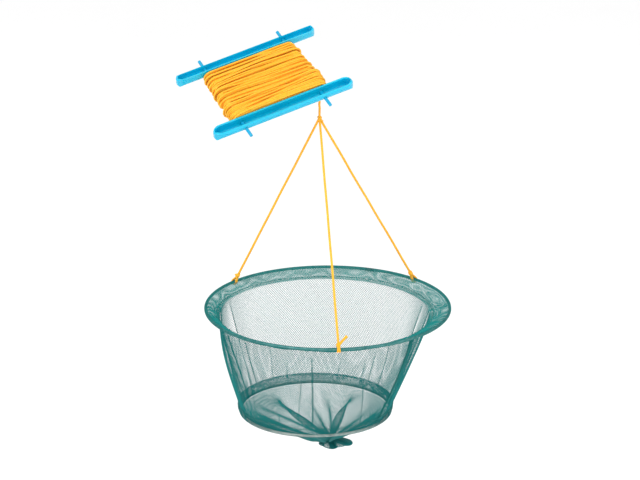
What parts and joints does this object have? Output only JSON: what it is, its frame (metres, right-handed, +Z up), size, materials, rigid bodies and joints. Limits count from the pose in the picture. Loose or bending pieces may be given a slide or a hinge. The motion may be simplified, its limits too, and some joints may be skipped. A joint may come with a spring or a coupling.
{
  "type": "folding crab trap",
  "caption": "Folding drop-net crab trap: netting basket on two wire hoops, hung by three bridle cords from a line wound on a hand winder.",
  "frame": {"origin": "centre of the knot where the three bridles and the lead line meet", "axes": "+Z up, opposite to gravity as the trap hangs; -Y towards the front lashing and the viewer; +X to the viewer's right"},
  "size_m": [0.3333, 0.3051, 0.5157],
  "materials": {
    "winder_plastic": "glossy moulded bright blue plastic",
    "cord": "braided synthetic cord, golden orange",
    "hoop_wire": "galvanised steel wire",
    "ferrule": "dull crimped steel tube",
    "netting": "fine knotless nylon netting, teal green",
    "thread": "dark green sewing thread and thin cord"
  },
  "bodies": {
    "winder": {"rail_front": "winder_plastic", "rail_rear": "winder_plastic", "crossbar_left": "winder_plastic", "crossbar_right": "winder_plastic", "wound_line": "cord"},
    "line": {"lead_line": "cord"},
    "knot": {"bridle_knot": "cord"},
    "bridles": {"bridle_left": "cord", "bridle_right": "cord", "bridle_front": "cord"},
    "rim": {"hoop_lashing_left": "cord", "hoop_lashing_right": "cord", "hoop_lashing_front": "cord", "top_hoop": "hoop_wire", "top_hoop_ferrule": "ferrule", "rim_collar": "netting", "collar_stitching": "thread", "net_wall": "netting", "side_seam": "thread"},
    "base": {"bottom_hoop": "hoop_wire", "bottom_hem": "netting", "hem_stitching": "thread", "base_net": "netting", "base_gather": "netting", "base_tie": "thread"}
  },
  "joints": [
    {"name": "line_twist", "type": "hinge", "parent": "winder", "child": "line", "pos_m": [0, 0, 0.026], "axis": [0, 0, 1], "range_deg": [-180, 180]},
    {"name": "line_payout", "type": "slide", "parent": "line", "child": "knot", "axis": [0, 0, -1], "range_m": [0, 0.3], "deforming": ["lead_line"]},
    {"name": "trap_swing", "type": "hinge", "parent": "knot", "child": "bridles", "pos_m": [0, 0, 0], "axis": [1, 0, 0], "range_deg": [-30, 30]},
    {"name": "bridle_slack", "type": "slide", "parent": "bridles", "child": "rim", "axis": [0, 0, 1], "range_m": [0, 0.12], "deforming": ["bridle_left", "bridle_right", "bridle_front"]},
    {"name": "basket_fold", "type": "slide", "parent": "rim", "child": "base", "axis": [0, 0, 1], "range_m": [0, 0.108], "deforming": ["net_wall", "side_seam"]}
  ]
}
